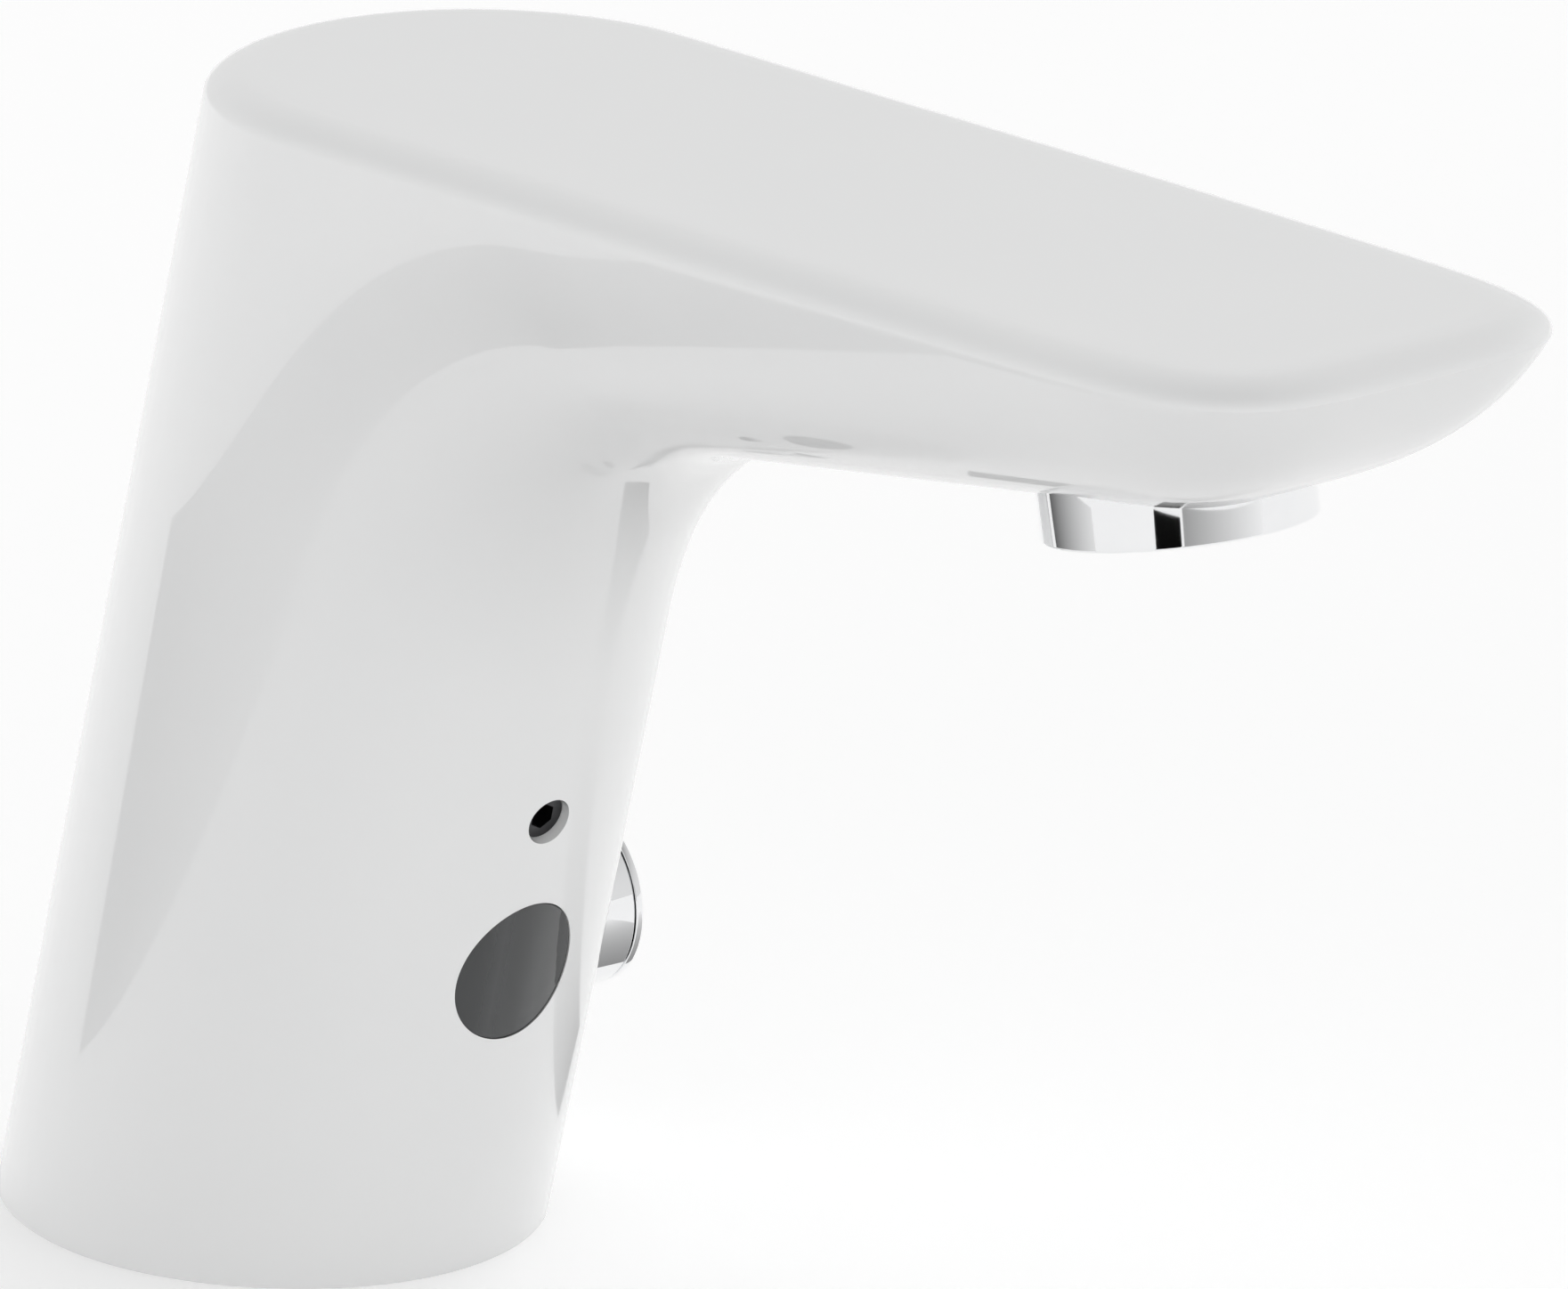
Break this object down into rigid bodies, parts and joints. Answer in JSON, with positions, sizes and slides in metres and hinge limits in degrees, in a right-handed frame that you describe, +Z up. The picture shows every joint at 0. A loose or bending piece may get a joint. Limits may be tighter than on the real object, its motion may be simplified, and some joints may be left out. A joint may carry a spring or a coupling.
{
  "type": "sensor tap",
  "caption": "Deck-mounted touch-free basin tap with a leaning column, flat-topped spout, sensor window and side mixing knob.",
  "frame": {"origin": "middle of the column's foot, on the deck", "axes": "+X towards the user along the spout, +Y the side with the knob, +Z up"},
  "size_m": [0.2013, 0.0617, 0.1291],
  "materials": {
    "white_enamel": "glossy white enamel on die-cast metal",
    "chrome_plate": "mirror-bright plating",
    "black_screw": "blackened steel",
    "brass": "machined",
    "stainless": "machined stainless steel",
    "spring_steel": "drawn wire",
    "dark_window": "polished dark infrared-clear plastic",
    "white_plastic": "moulded acetal",
    "grey_plastic": "moulded plastic",
    "black_plastic": "moulded plastic",
    "black_rubber": "seal rubber",
    "ceramic": "lapped ceramic",
    "copper": "enamelled copper wire",
    "board_green": "glass-fibre circuit board",
    "steel": "zinc-plated steel"
  },
  "bodies": {
    "tap": {"body_shell": "white_enamel", "base_gasket": "black_rubber", "base_plate": "steel", "block_screws": "stainless", "cable_grommet": "black_rubber", "valve_block": "brass", "hot_inlet": "brass", "inlet_strainers": "stainless", "check_valve_bodies": "white_plastic", "hot_check_spring": "spring_steel", "cold_inlet": "brass", "cold_check_spring": "spring_steel", "cartridge_seal": "black_rubber", "fixed_disc": "ceramic", "cartridge_cup": "white_plastic", "spindle_seal": "black_rubber", "cartridge_nut": "brass", "guide_ring": "white_plastic", "valve_base": "grey_plastic", "diaphragm": "black_rubber", "valve_cover": "grey_plastic", "cover_screws": "stainless", "core_tube": "stainless", "core_pole": "stainless", "plunger_spring": "spring_steel", "coil_bobbin": "black_plastic", "coil_winding": "copper", "coil_yoke": "steel", "coil_nut": "steel", "coil_terminals": "brass", "nozzle": "grey_plastic", "pipe_seals": "black_rubber", "nozzle_screws": "stainless", "union_nut": "brass", "outlet_pipe": "stainless", "aerator_collar": "chrome_plate", "aerator_insert": "grey_plastic", "aerator_screen": "stainless", "flow_limiter": "white_plastic", "aerator_seal": "black_rubber", "sensor_lens": "dark_window", "lens_seal": "black_rubber", "sensor_housing": "black_plastic", "sensor_screws": "stainless", "circuit_board": "board_green", "infrared_emitter": "dark_window", "infrared_receiver": "dark_window", "fixing_screw": "black_screw", "control_unit": "black_plastic"},
    "knob": {"spindle": "brass", "moving_disc": "ceramic", "limit_ring": "white_plastic", "knob_sleeve": "chrome_plate", "knob_cap": "chrome_plate", "knob_screw": "stainless"},
    "plunger": {"plunger": "stainless", "plunger_pad": "black_rubber"},
    "hot_poppet": {"hot_poppet": "white_plastic"},
    "cold_poppet": {"cold_poppet": "white_plastic"}
  },
  "joints": [
    {"name": "knob_turn", "type": "hinge", "parent": "tap", "child": "knob", "pos_m": [0.00772, 0, 0.02665], "axis": [0, 1, 0], "range_deg": [-50, 50]},
    {"name": "plunger_lift", "type": "slide", "parent": "tap", "child": "plunger", "axis": [0, 0, 1], "range_m": [0, 0.0025], "stiffness_N_per_m": 150, "springref_m": -0.004, "deforming": ["plunger_spring"]},
    {"name": "hot_check_lift", "type": "slide", "parent": "tap", "child": "hot_poppet", "axis": [0, 0, 1], "range_m": [0, 0.0018], "stiffness_N_per_m": 60, "springref_m": -0.003, "deforming": ["hot_check_spring"]},
    {"name": "cold_check_lift", "type": "slide", "parent": "tap", "child": "cold_poppet", "axis": [0, 0, 1], "range_m": [0, 0.0018], "stiffness_N_per_m": 60, "springref_m": -0.003, "deforming": ["cold_check_spring"]}
  ]
}
